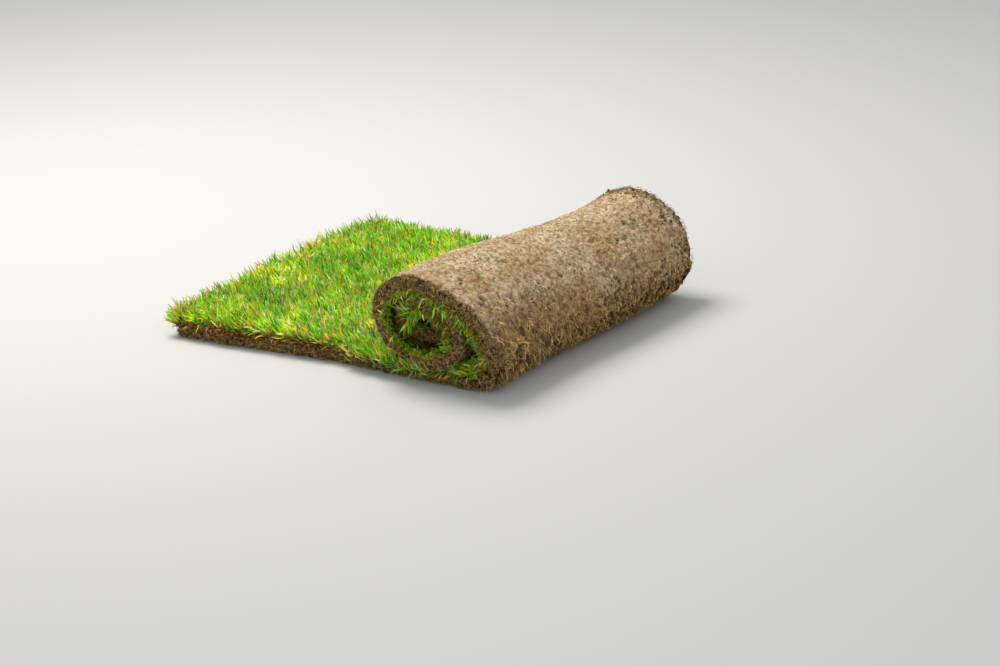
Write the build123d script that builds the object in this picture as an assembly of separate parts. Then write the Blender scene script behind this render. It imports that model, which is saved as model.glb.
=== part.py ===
from build123d import *
import math
import os

# Strip of turf as it is cut, in mm
strip_length = 1524.0
strip_width = 610.0
soil_thickness = 24.0
grass_height = 27.0
blade_overhang = 22.0

# Winding: the strip's soil side is outside
turns = 2.375
arcs_per_turn = 8
pressed_grass = 14.0
core_clearance = 4.0
bore_share = 0.5
bore_depth = 60.0

# Sag of the roll on the ground
squash = 0.55
flat_side_angle = 65.0
slack_share = 2.6
slack_turns = 1.5

# The roll tapers and droops: its section's width and height against the even roll's, and its shift along X, at
# the near edge, at a waist past the middle and at the far edge
roll_middle = -33.7
near_width_ratio = 1.08
near_height_ratio = 1.018
near_shift = -12.8
waist_offset = 122.0
waist_width_ratio = 0.944
waist_height_ratio = 0.946
waist_shift = 13.6
far_width_ratio = 0.871
far_height_ratio = 1.0
far_shift = 21.4

# The flat tail follows the first bend over this last stretch
bend_approach = 60.0

# Derived sizes
arc_angle = 360.0 / arcs_per_turn
arc_count = round(turns * arcs_per_turn)
turn_pitch = soil_thickness + pressed_grass
core_radius = soil_thickness + core_clearance
outer_radius = core_radius + turn_pitch * arc_count / arcs_per_turn
slack = slack_share * pressed_grass
sward_top = soil_thickness + grass_height
near_edge = (-strip_width / 2.0, near_width_ratio, near_height_ratio, near_shift)
waist = (waist_offset, waist_width_ratio, waist_height_ratio, waist_shift)
far_edge = (strip_width / 2.0, far_width_ratio, far_height_ratio, far_shift)


# Radius of the strip's underside in one arc, counted from the bend next to the flat tail
def underside_radius(number):
    wound = number / arcs_per_turn
    mean_radius = outer_radius - turn_pitch * wound
    facing = math.radians((number + 0.5) * arc_angle - 90.0)
    flattening = squash * mean_radius / outer_radius * math.cos(2.0 * (facing - math.radians(flat_side_angle)))
    loosening = slack / math.pi * math.sin(facing) * max(0.0, 1.0 - wound / slack_turns)
    return mean_radius * (1.0 + flattening) + loosening


radii = [underside_radius(number) for number in range(arc_count)]

# The strip keeps its length: what is not wound up lies flat, measured at the soil's mid depth
wound_length = sum(math.radians(arc_angle) * (radius - soil_thickness / 2.0) for radius in radii)
tail_length = strip_length - wound_length


# Arcs of the winding at a depth inward from the underside; the first bend starts at X = 0
def wound_arcs(depth):
    arcs = []
    start = Vector(0.0, depth)
    for number, radius in enumerate(radii):
        heading = math.radians(number * arc_angle)
        tangent = Vector(math.cos(heading), math.sin(heading))
        arc = JernArc(start, tangent, radius - depth, arc_angle)
        arcs.append(arc)
        start = arc @ 1
    return arcs


# The outer turn's last arc, from where it comes down on the blades
def landing_arc(arc):
    number = arcs_per_turn - 1
    heading = math.radians(number * arc_angle)
    drop = max(0.0, (arc @ 0).Y - sward_top) / radii[number]
    meeting = 2.0 * math.pi - math.acos(math.cos(heading) + drop)
    return arc.trim((meeting - heading) / math.radians(arc_angle), 1.0)


# Edges of the even roll as they lie at one place along it
def settle(edges, width_ratio, height_ratio, shift):
    matrix = Matrix(
        [
            [width_ratio, 0.0, 0.0, roll_middle * (1.0 - width_ratio) + shift],
            [0.0, height_ratio, 0.0, 0.0],
            [0.0, 0.0, 1.0, 0.0],
        ]
    )
    return [edge.transform_geometry(matrix) for edge in edges]


# One side of the flat tail, from its cut end to the first bend
def flat_side(height, bend):
    approach = (-bend_approach, height)
    return [Line((-tail_length, height), approach), Line(approach, bend)]


# Flat tail and winding drawn as one closed band
def soil_outline(section):
    underside = settle(wound_arcs(0.0), *section)
    grass_side = settle(wound_arcs(soil_thickness), *section)
    tail_bottom = flat_side(0.0, underside[0] @ 0)
    tail_top = flat_side(soil_thickness, grass_side[0] @ 0)
    tail_cut = Line((-tail_length, 0.0), (-tail_length, soil_thickness))
    inner_cut = Line(underside[-1] @ 1, grass_side[-1] @ 1)
    return Wire([*tail_bottom, *underside, inner_cut, *grass_side[::-1], *tail_top[::-1], tail_cut])


# Standing grass that leans out over the tail's cut end, and what is rolled up between the turns
def grass_outline(section):
    arcs = wound_arcs(0.0)
    landing = landing_arc(arcs[arcs_per_turn - 1])
    outer_side = settle([landing, *arcs[arcs_per_turn:]], *section)
    inner_side = settle(wound_arcs(soil_thickness), *section)
    tips = (-tail_length - blade_overhang, sward_top)
    tail_top = flat_side(soil_thickness, inner_side[0] @ 0)
    inner_cut = Line(inner_side[-1] @ 1, outer_side[-1] @ 1)
    blade_tops = Line(outer_side[0] @ 0, tips)
    blade_ends = Line(tips, (-tail_length, soil_thickness))
    return Wire([*tail_top, *inner_side, inner_cut, *outer_side[::-1], blade_tops, blade_ends])


# Straight-sided skin from the near edge over the waist to the far edge
def along_roll(outline):
    sections = []
    for place, *section in (near_edge, waist, far_edge):
        sections.append(Pos(0.0, place, 0.0) * (Plane.XZ * outline(section)))
    return Solid.make_loft(sections, ruled=True).clean()


# Open hollow in the middle of one end, between the strip's inner end and the turn across from it
def end_bore(place, width_ratio, height_ratio, shift):
    arcs = wound_arcs(0.0)
    end = arcs[-1] @ 1
    across = arcs[arc_count - arcs_per_turn // 2] @ 0
    free_width = (end - across).length - 2.0 * soil_thickness
    centre = (end + across) * 0.5
    at = Pos(roll_middle + shift + (centre.X - roll_middle) * width_ratio, place, centre.Y * height_ratio)
    return at * Rot(90.0, 0.0, 0.0) * Cylinder(bore_share * free_width / 2.0, 2.0 * bore_depth)


soil_mat = along_roll(soil_outline)
grass = along_roll(grass_outline) - end_bore(*near_edge) - end_bore(*far_edge)

# Origin below the middle of the whole object
left = min(solid.bounding_box().min.X for solid in (soil_mat, grass))
right = max(solid.bounding_box().max.X for solid in (soil_mat, grass))
centring = Pos(-(left + right) / 2.0, 0.0, 0.0)

os.makedirs("parts", exist_ok=True)
for name, solid in (("soil_mat", soil_mat), ("grass", grass)):
    export_step(centring * solid.solid(), f"parts/{name}.step")
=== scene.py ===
import math
import bmesh
import bpy
import numpy as np
from mathutils import Matrix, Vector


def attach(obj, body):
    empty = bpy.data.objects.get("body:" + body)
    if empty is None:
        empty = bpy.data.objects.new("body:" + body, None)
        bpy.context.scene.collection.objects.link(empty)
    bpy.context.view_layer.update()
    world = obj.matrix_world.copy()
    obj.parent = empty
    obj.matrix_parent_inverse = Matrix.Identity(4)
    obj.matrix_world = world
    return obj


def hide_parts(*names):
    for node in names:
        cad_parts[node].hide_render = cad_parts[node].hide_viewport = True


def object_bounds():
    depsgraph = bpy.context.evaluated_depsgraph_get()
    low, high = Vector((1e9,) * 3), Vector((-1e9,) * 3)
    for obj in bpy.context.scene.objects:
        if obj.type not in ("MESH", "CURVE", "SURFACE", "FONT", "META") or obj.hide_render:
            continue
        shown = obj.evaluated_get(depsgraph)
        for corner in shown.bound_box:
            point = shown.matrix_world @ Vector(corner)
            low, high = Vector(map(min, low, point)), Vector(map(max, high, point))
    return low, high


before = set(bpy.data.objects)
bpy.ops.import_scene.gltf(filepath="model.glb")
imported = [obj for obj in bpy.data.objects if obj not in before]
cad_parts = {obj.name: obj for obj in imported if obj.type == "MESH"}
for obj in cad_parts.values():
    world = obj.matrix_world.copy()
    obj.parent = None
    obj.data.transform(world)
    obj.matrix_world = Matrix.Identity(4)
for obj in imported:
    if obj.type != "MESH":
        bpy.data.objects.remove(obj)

cad_low, cad_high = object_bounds()
rng = np.random.default_rng(20417)
uniform, normal = rng.uniform, rng.normal

# The strip, in metres, as in the frame
STRIP_LENGTH = 1.524
HALF_WIDTH = 0.305
SOIL = 0.024
PRESSED = 0.014
CORE = SOIL + 0.004
ARC = math.pi / 4
ARCS = 19
PITCH = SOIL + PRESSED
OUTER = CORE + PITCH * ARCS / 8
SQUASH = 0.55
FLAT_SIDE = math.radians(65)
SLACK = 2.6 * PRESSED
SLACK_ARCS = 12
OVERHANG = 0.022

# The strip's two sides, directions, and small distances
NEAR, FAR = -1.0, 1.0
SIDEWAYS = np.array([0.0, 1.0, 0.0])
UPWARD = np.array([0.0, 0.0, 1.0])
SOIL_ABOVE_GROUND = 0.0004
BLADES_ABOVE_GROUND = 0.0006
TOUCHING = 1e-6


def underside_radii():
    """Radius of the strip's underside in each arc of the winding."""
    number = np.arange(ARCS)
    mean = OUTER - PITCH * number / 8
    facing = (number + 0.5) * ARC - math.pi / 2
    flattening = SQUASH * mean / OUTER * np.cos(2 * (facing - FLAT_SIDE))
    return mean * (1 + flattening) + SLACK / math.pi * np.sin(facing) * np.clip(1 - number / SLACK_ARCS, 0, 1)


RADII = underside_radii()
TAIL = STRIP_LENGTH - np.sum(ARC * (RADII - SOIL / 2))
HEADINGS = np.arange(ARCS + 1) * ARC
ARC_START = TAIL + np.concatenate([[0], np.cumsum(ARC * RADII)])
STEP_X = RADII * (np.sin(HEADINGS[1:]) - np.sin(HEADINGS[:-1]))
STEP_Z = RADII * (np.cos(HEADINGS[:-1]) - np.cos(HEADINGS[1:]))
KNOT_X = np.concatenate([[0], np.cumsum(STEP_X)])
KNOT_Z = np.concatenate([[0], np.cumsum(STEP_Z)])
END = ARC_START[-1]

# The row's frame counts X from the middle of the whole, and grass leans out over the tail's cut end
SHIFT_X = cad_low.x + OVERHANG + TAIL


def on_strip(s, depth):
    """Position and heading at a place s along the underside and a depth inward from it."""
    s = np.asarray(s, float)
    arc = np.clip(np.searchsorted(ARC_START, s, side="right") - 1, 0, ARCS - 1)
    heading = HEADINGS[arc] + (s - ARC_START[arc]) / RADII[arc]
    x = KNOT_X[arc] + RADII[arc] * (np.sin(heading) - np.sin(HEADINGS[arc]))
    z = KNOT_Z[arc] + RADII[arc] * (np.cos(HEADINGS[arc]) - np.cos(heading))
    flat = s < TAIL
    heading = np.where(flat, 0.0, heading)
    x = np.where(flat, s - TAIL, x)
    z = np.where(flat, 0.0, z)
    return x - np.sin(heading) * depth, z + np.cos(heading) * depth, heading


def along_strip(heading):
    """Directions along the strip where it has these headings."""
    return np.stack([np.cos(heading), 0 * heading, np.sin(heading)], 1)


def inward(heading):
    """Directions from the strip's underside into the roll."""
    return np.stack([-np.sin(heading), 0 * heading, np.cos(heading)], 1)


# Repeatable noise


def hashed(cell, seed):
    """Three repeatable random numbers in 0..1 for each whole cell."""
    h = cell[:, 0] * 374761393 + cell[:, 1] * 668265263 + cell[:, 2] * 2246822519 + seed * 3266489917
    h = h & 0xFFFFFFFF
    h = ((h ^ (h >> 15)) * 2246822519) & 0xFFFFFFFF
    h = ((h ^ (h >> 13)) * 3266489917) & 0xFFFFFFFF
    h = h ^ (h >> 16)
    return np.stack([h & 1023, (h >> 10) & 1023, (h >> 20) & 1023], 1) / 1023


def noise(points, seed):
    """Gradient noise in about -1..1 at points given in cells."""
    points = np.asarray(points, float)
    cell = np.floor(points).astype(np.int64)
    f = points - cell
    fade = f * f * f * (f * (f * 6 - 15) + 10)
    total = np.zeros(len(points))
    for corner in range(8):
        o = np.array([corner & 1, corner >> 1 & 1, corner >> 2 & 1])
        weight = np.prod(np.where(o, fade, 1 - fade), axis=1)
        total += weight * np.sum((hashed(cell + o, seed) * 2 - 1) * (f - o), axis=1)
    return total * 1.4


def noise_at(u, v, seed):
    """The same noise over a plane."""
    return noise(np.stack([u, u * 0 + v, u * 0], 1), seed)


def cells(points, seed):
    """Distance, in cells, to the nearest of one random point in each cell."""
    base = np.floor(points).astype(np.int64)
    best = np.full(len(points), 9.0)
    for corner in range(27):
        c = base + np.array([corner % 3 - 1, corner // 3 % 3 - 1, corner // 9 - 1])
        best = np.minimum(best, np.linalg.norm(c + hashed(c, seed) - points, axis=1))
    return best


def fractal(points, size, octaves, seed, gain=0.5):
    """Noise of a first size, with finer and weaker octaves on top."""
    total = np.zeros(len(points))
    amount = 1.0
    for octave in range(octaves):
        total += amount * noise(points / size, seed + octave)
        size /= 2.03
        amount *= gain
    return total


def smooth(x, low, high):
    """0 below low, 1 above high, and a soft step between them."""
    t = np.clip((x - low) / (high - low), 0, 1)
    return t * t * (3 - 2 * t)


# The roll isn't even along its length: its section's width, height and shift at four places across the strip
ACROSS = np.array([-1.0, -0.34, 0.34, 1.0]) * HALF_WIDTH
WIDER = np.polynomial.Polynomial.fit(ACROSS, [1.08, 1.017, 0.95, 0.871], 3)
HIGHER = np.polynomial.Polynomial.fit(ACROSS, [1.018, 1.008, 0.948, 1.0], 3)
SHIFTED = np.polynomial.Polynomial.fit(ACROSS, [-0.0128, -0.0056, 0.0123, 0.0214], 3)
ROLL_MIDDLE = -0.0337
# How much further out the tail's cut end lies toward its far side
CUT_SKEW = 0.01


def settle(s, y, depth):
    """Points in the row's frame, and headings, for places s along, y across and depth into the strip."""
    x, z, heading = on_strip(s, depth)
    rolled = smooth(s, TAIL - 0.03, TAIL + 0.04)
    sway = 0.003 * noise_at(s * 9, y * 5, 41) * rolled
    uneven = ROLL_MIDDLE + SHIFTED(y) + (x - ROLL_MIDDLE) * WIDER(y) - x
    px = x + rolled * uneven + sway * np.sin(heading)
    px -= CUT_SKEW * smooth(y, -0.25, 0.12) * smooth(-s, -0.12, 0)
    pz = z * (1 + rolled * (HIGHER(y) - 1)) - sway * np.cos(heading)
    return np.stack([px + SHIFT_X, y, pz], 1), heading


# The strip's edges aren't straight: how far each lies inside the plain width, and at which places
NEAR_EDGE_AT = [0, 0.1, 0.22, 0.34, 0.5]
NEAR_EDGE_AT += [TAIL, TAIL + 0.1, TAIL + 0.17, TAIL + 0.23, TAIL + 0.3, TAIL + 0.37, TAIL + 0.5, TAIL + 0.63]
NEAR_EDGE_AT += [END - 0.22, END - 0.13, END - 0.08, END - 0.03, END]
NEAR_EDGE = [-0.018, -0.01, 0.006, 0.018, 0.021]
NEAR_EDGE += [0.021, 0.014, 0.001, -0.007, -0.01, -0.003, -0.007, 0.0]
NEAR_EDGE += [0.006, 0.012, 0.042, 0.034, 0.012]
FAR_EDGE_AT = ARC_START[:7]
FAR_EDGE = [0.0, 0.002, -0.014, -0.021, -0.009, 0.001, 0.004]


def recess(s, side):
    """How far the strip's edge on this side lies inside the plain width."""
    wound = np.clip((s - ARC_START[6]) / (END - ARC_START[6]), 0, 1)
    edge = np.where(side < 0, np.interp(s, NEAR_EDGE_AT, NEAR_EDGE), np.interp(s, FAR_EDGE_AT, FAR_EDGE))
    return edge + 0.003 * smooth(wound, 0.0, 0.5) + 0.003 * noise_at(s * 7, side * 3.3, 77)


def edge_at(s, side):
    """Distance of the strip's edge on this side from the strip's middle line."""
    return HALF_WIDTH - recess(s, side)


def between_edges(s, y):
    """A place given over the plain width, brought inside the strip's real edges."""
    return y * (1 - recess(s, np.sign(y)) / HALF_WIDTH)


def lowness(s, heading):
    """1 where the roll's outside faces down and away from the tail, 0 on its top."""
    return np.where(s > TAIL, 1 - smooth(heading, 0.85, 2.5), 0.5)


# Meshes
NO_QUADS = np.zeros((0, 4), int)
NO_TRIS = np.zeros((0, 3), int)


def put(name, data):
    """Puts a mesh, lamp or camera into the scene."""
    thing = bpy.data.objects.new(name, data)
    bpy.context.scene.collection.objects.link(thing)
    return thing


def add_mesh(name, points, quads, tris, colour):
    """A smooth piece, with a colour or other values for each point in its tint."""
    mesh = bpy.data.meshes.new(name)
    loops = np.concatenate([quads.ravel(), tris.ravel()])
    sizes = np.concatenate([np.full(len(quads), 4), np.full(len(tris), 3)])
    mesh.vertices.add(len(points))
    mesh.vertices.foreach_set("co", points.astype(np.float32).ravel())
    mesh.loops.add(len(loops))
    mesh.loops.foreach_set("vertex_index", loops.astype(np.int32))
    mesh.polygons.add(len(sizes))
    mesh.polygons.foreach_set("loop_start", np.concatenate([[0], np.cumsum(sizes)[:-1]]).astype(np.int32))
    mesh.polygons.foreach_set("use_smooth", np.full(len(sizes), True))
    mesh.update(calc_edges=True)
    layer = mesh.attributes.new("tint", "FLOAT_COLOR", "POINT")
    rgba = np.ones((len(colour), 4))
    rgba[:, : colour.shape[1]] = colour
    layer.data.foreach_set("color", rgba.astype(np.float32).ravel())
    return put(name, mesh)


# Soil
CRUMB_SIZE = 0.0105
GRAIN_SIZE = 0.0058
HOLE_SIZE = 0.0125
BIG_HOLE_SIZE = 0.017
EDGE_ROUND = 0.0095
EDGE_STEP = 0.0024
DEPTH_STEPS = 8

# Places on the roll's outside where a crumb has come out: along the strip from the bend, across, and radius
DENTS = [(0.295, 0.12, 0.009), (0.25, 0.09, 0.01), (0.23, 0.13, 0.012), (0.255, 0.205, 0.013)]
DENTS += [(0.19, 0.165, 0.012), (0.24, 0.27, 0.016), (0.22, 0.24, 0.012), (0.14, 0.07, 0.012)]
DENTS += [(0.19, 0.08, 0.008), (0.16, 0.125, 0.012), (0.225, 0.07, 0.008), (0.17, -0.045, 0.008)]
DENTS += [(0.15, -0.08, 0.011), (0.28, -0.25, 0.008), (0.285, -0.205, 0.01), (0.223, -0.265, 0.014)]
DENTS += [(0.275, -0.135, 0.009), (0.205, -0.22, 0.012), (0.165, -0.265, 0.012), (0.145, -0.215, 0.013)]
DENTS += [(0.14, -0.19, 0.01)]


def dented(s, y):
    """How far a place lies in one of the dents, 0 to 1."""
    wobble = 0.35 * noise_at(s / 0.006, y / 0.006, 73)
    deepest = np.zeros(len(s))
    for along, across, radius in DENTS:
        away = np.hypot((s - TAIL - along) / 1.3, y - across) / radius + wobble
        deepest = np.maximum(deepest, 1 - smooth(away, 0.35, 1.0))
    return deepest


def torn_rim(s, y):
    """Where the far rim of the roll's top is broken and shows bare soil, 0 to 1."""
    ragged = 0.037 + 0.02 * noise_at(s / 0.03, 0, 67)
    rim = smooth(y, HALF_WIDTH - ragged, HALF_WIDTH - 0.3 * ragged)
    return rim * smooth(s, ARC_START[3], ARC_START[4]) * smooth(-s, -ARC_START[6], -ARC_START[5])


def soil_relief(s, y, depth):
    """Height of the soil's surface above the plain band, and how much painted shade a point gets, 0 to 1: in
    pits, holes and crevices, and low on the near end and underside of the roll.
    """
    heading = on_strip(s, depth)[2]
    low = lowness(s, heading)
    outside = (depth < TOUCHING) & (s > TAIL)
    p = np.stack([s, y, depth * 1.3], 1)
    warp = np.stack([noise(p / 0.012, 5), noise(p / 0.012, 6), noise(p / 0.012, 7)], 1) * 0.5
    crumb = cells(p / CRUMB_SIZE + warp, 23)
    grain = cells(p / GRAIN_SIZE + warp, 29)
    patch = smooth(noise(p / 0.06, 91), 0.0, 0.6)
    cluster = smooth(noise(p / 0.045, 97), -0.1, 0.4)
    pit_from = 0.6 - 0.2 * patch - 0.2 * low - 0.38 * low * cluster
    pits = smooth(fractal(p * [0.62, 1.0, 1.0], HOLE_SIZE, 2, 57, 0.7), pit_from, pit_from + 0.22)
    dents = dented(s, y) * outside
    # Painted shade low on the roll's near end and on its underside, broken up by the noise pattern below
    near_low = low * smooth(-y, 0.14, 0.27) * outside
    under = smooth(-heading, -1.0, -0.3) * outside
    holed = 0.5 * low + 0.25 * cluster + 0.8 * dents + 0.3 * near_low + 0.45 * noise(p / 0.026, 33)
    holes = smooth(0.38 - cells(p * [0.66, 1.0, 1.0] / HOLE_SIZE + warp, 31), 0.0, 0.1)
    holes = holes * smooth(holed, 0.25, 0.5)
    big = smooth(0.4 - cells(p * [0.5, 1.0, 1.0] / BIG_HOLE_SIZE + warp, 35), 0.0, 0.1)
    big *= smooth(low + 0.5 * noise(p / 0.04, 47), 0.5, 0.75) * outside
    holes = np.maximum(holes, big)
    broken = torn_rim(s, y)
    rough = 0.8 + 0.8 * low + 0.7 * broken
    fine = rough * (0.0042 * (0.3 - crumb**2) + 0.0024 * (0.3 - grain**2)) - (0.0016 + 0.0028 * low) * pits
    fine += broken * 0.003 * noise(p / 0.014, 61) - 0.001 * dents - (0.003 + 0.002 * low) * holes
    # Painted shade in the crevices between crumbs, stronger low on the roll
    crevice_shade = smooth(crumb + 0.2 * noise(p / 0.02, 39), 0.62, 0.8) * (0.15 + 0.75 * low)
    # Noise that breaks up the painted shade near the end and on the underside
    shade = noise(p * [0.4, 1.0, 1.0] / 0.011, 37) + 0.5 * noise(p / 0.03, 43)
    # Painted shade in sunken places, holes and crevices
    painted_shade = smooth(-fine, 0.0012 - 0.0004 * low, 0.0036 - 0.0012 * low)
    painted_shade = np.maximum(painted_shade, np.maximum(holes, crevice_shade))
    painted_shade = np.maximum(painted_shade, np.maximum(near_low, under) * smooth(shade, -0.2, 0.12))
    return fine + 0.0022 * fractal(p, 0.055, 2, 11) + 0.0018 * low * noise(p / 0.016, 19), painted_shade


def surface(s, y):
    """Height of the relief on the strip's underside."""
    return soil_relief(s, y, np.zeros(len(s)))[0]


def clear_of_holes(s, y):
    """Where a root can grow: most of them stay off the places painted with shade."""
    return uniform(size=len(s)) > 0.93 * soil_relief(s, y, np.zeros(len(s)))[1]


def rounding(distance):
    """How much is crumbled away at a distance from a corner."""
    return EDGE_ROUND * np.clip(1 - distance / EDGE_ROUND, 0, 1) ** 2 * 0.45


def soil_points(s, y, depth):
    """Points of the soil band with their relief; the tint holds painted shade, cut face, under grass and low.
    """
    to_end = HALF_WIDTH - np.abs(y)
    to_face = np.minimum(depth, SOIL - depth)
    side = np.sign(y)
    at_end = to_end < TOUCHING
    at_outer = depth < TOUCHING
    at_inner = depth > SOIL - TOUCHING
    at_first_cut = s < TOUCHING
    at_last_cut = s > END - TOUCHING
    low = lowness(s, on_strip(s, depth)[2])
    height, painted_shade = soil_relief(s, y, depth)
    wear = 1 + 1.3 * noise_at(s / 0.016, y / 0.02, 131)
    worn = rounding(to_end) * wear
    sag = 0.0032 * noise_at(s / 0.045, y / 0.05, 137) * smooth(depth, 0, SOIL)
    d = depth + np.where(at_outer, worn - height, 0) - np.where(at_inner, worn - height * 0.6, 0) + sag
    rag = 0.0062 * fractal(np.stack([s, y * 0.2, depth * 1.6], 1), 0.017, 3, 151, 0.66)
    rag += 0.0045 * noise(np.stack([s / 0.034, y, depth / 0.05], 1), 157)
    shrink = recess(s, side) + np.where(at_end, rounding(to_face) * wear - rag - height * 0.35, 0)
    new_y = np.where(at_end, side * (HALF_WIDTH - shrink), between_edges(s, y))
    new_s = s + np.where(at_first_cut, -rag + 0.0015 * (1 - to_face / (SOIL / 2)), 0)
    new_s = new_s - np.where(at_last_cut, rag, 0)
    points, _ = settle(new_s, new_y, d)
    # The flat tail never reaches below the ground, and its edges lift a little in places
    flat = 1 - smooth(s, TAIL, TAIL + 0.05)
    lift_edge = smooth(np.abs(y), HALF_WIDTH - 0.03, HALF_WIDTH) + smooth(-s, -0.03, 0) * 0.7
    lift = 0.0028 * smooth(noise_at(s / 0.05, side * 5, 171), 0.0, 0.7) * np.clip(lift_edge, 0, 1)
    points[:, 2] += flat * lift * (1 - depth / SOIL * 0.8)
    points[:, 2] = np.maximum(points[:, 2], SOIL_ABOVE_GROUND)
    torn = 0.006 * noise_at(s / 0.02, y / 0.02, 163)
    cut = at_end | at_first_cut | at_last_cut
    face = np.where(cut, 1.0, smooth(torn - to_end, -0.012, -0.003) * 0.8)
    face = np.maximum(face, 0.85 * smooth(s, ARC_START[8] - 0.03, ARC_START[8] + 0.05))
    face = np.maximum(face, 0.85 * torn_rim(s, y) * at_outer)
    face *= 1 - 0.25 * smooth(s, TAIL - 0.12, TAIL - 0.03) * smooth(-s, -TAIL - 0.17, -TAIL - 0.08)
    grassy = np.where(at_inner, 1.0, smooth(depth, SOIL * 0.72, SOIL))
    return points, np.stack([painted_shade, face, grassy, low], 1)


def stitch(low, low_at, high, high_at):
    """Triangles between two rows of points of unlike counts that start and end together."""
    i = j = 0
    out = []
    while i < len(low) - 1 or j < len(high) - 1:
        if j == len(high) - 1 or (i < len(low) - 1 and low_at[i + 1] <= high_at[j + 1]):
            out.append((low[i], low[i + 1], high[j]))
            i += 1
        else:
            out.append((low[i], high[j + 1], high[j]))
            j += 1
    return np.array(out)


def end_cap(first, s, outer_y, inner_y, depth_rows, next_index):
    """Rows of points across the band's cut, joined to the ring that starts at index first."""
    rows = len(depth_rows)
    corner = first + len(outer_y)
    outer = first + np.arange(len(outer_y))
    far = corner + np.arange(rows)
    inner = (corner + rows + np.arange(len(inner_y)))[::-1]
    near = (corner + rows + len(inner_y) + np.arange(rows))[::-1]
    inside_y = inner_y[1:-1]
    y = np.tile(inside_y, rows)
    points, colour = soil_points(np.full(len(y), s), y, np.repeat(depth_rows, len(inside_y)))
    grid = next_index + np.arange(len(y)).reshape(rows, len(inside_y))
    table = [np.concatenate([[near[i]], grid[i], [far[i]]]) for i in range(rows)] + [inner]
    quads = [np.stack([a[:-1], a[1:], b[1:], b[:-1]], -1) for a, b in zip(table[:-1], table[1:])]
    return points, np.concatenate(quads), stitch(outer, outer_y, table[0], inner_y), colour


def soil_band(name, s_values, outer_y, inner_y):
    """A closed length of the soil band between the first and last of s_values."""
    depth_rows = np.linspace(0, SOIL, DEPTH_STEPS + 1)[1:-1]
    edge = np.full(len(depth_rows), HALF_WIDTH)
    y = np.concatenate([outer_y, edge, inner_y[::-1], -edge])
    faces = np.zeros(len(outer_y)), np.full(len(inner_y), SOIL)
    depth = np.concatenate([faces[0], depth_rows, faces[1], depth_rows[::-1]])
    count, rings = len(y), len(s_values)
    points, colour = soil_points(np.repeat(s_values, count), np.tile(y, rings), np.tile(depth, rings))
    a = np.arange(rings - 1)[:, None] * count
    j = np.arange(count)[None, :]
    k = (j + 1) % count
    quads = np.stack([a + j, a + count + j, a + count + k, a + k], -1).reshape(-1, 4)
    tris = NO_TRIS
    for ring, turn in ((0, 1), (rings - 1, -1)):
        cap = end_cap(ring * count, s_values[ring], outer_y, inner_y, depth_rows, len(points))
        points = np.concatenate([points, cap[0]])
        quads = np.concatenate([quads, cap[1][:, ::turn]])
        tris = np.concatenate([tris, cap[2][:, ::turn]])
        colour = np.concatenate([colour, cap[3]])
    return add_mesh(name, points, quads, tris, colour)


def stations(first, last, step):
    """Evenly spaced places, about a step apart."""
    return np.linspace(first, last, max(2, round((last - first) / step)) + 1)


def columns(step, edge_width):
    """Places across the strip, closer together near its two edges."""
    middle = HALF_WIDTH - edge_width
    edge = stations(middle, HALF_WIDTH, EDGE_STEP)[1:]
    return np.concatenate([-edge[::-1], stations(-middle, middle, step), edge])


TAIL_JOIN = TAIL - 0.01
TURN_JOIN = ARC_START[8] + 0.03
tail_columns = columns(0.012, 0.02)
turn_columns = columns(0.0026, 0.012)
grass_side_columns = columns(0.0105, 0.012)
core_columns = columns(0.06, 0.024)
turn_stations = stations(TAIL_JOIN, TURN_JOIN, EDGE_STEP)
strip_tail = soil_band("soil_tail", stations(0, TAIL_JOIN, 0.0052), tail_columns, tail_columns)
strip_outer = soil_band("soil_outer_turn", turn_stations, turn_columns, grass_side_columns)
strip_inner = soil_band("soil_core_turns", stations(TURN_JOIN, END, 0.0031), core_columns, core_columns)

# Blades
Y_LIMIT = HALF_WIDTH + 0.027
X_LIMIT = cad_low.x - 0.0305
BLADE_AT = (0.0, 0.3, 0.75, 1.0)
BLADE_WIDTH = (0.65, 1.0, 0.8, 0.25)


def unit(v):
    """Vectors of length 1."""
    return v / np.maximum(np.linalg.norm(v, axis=1, keepdims=True), 1e-9)


def ribbon_faces(n, segments, blunt=False):
    """Faces of n strips of paired points, each with a single point at its tip unless it is blunt."""
    per = 2 * segments + 1 + blunt
    base = (np.arange(n) * per)[:, None]
    whole = segments - 1 + blunt
    quads = np.concatenate([base + np.array([2 * k, 2 * k + 1, 2 * k + 3, 2 * k + 2]) for k in range(whole)])
    tris = NO_TRIS if blunt else base + np.array([2 * segments - 2, 2 * segments - 1, 2 * segments])
    return quads, tris


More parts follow.
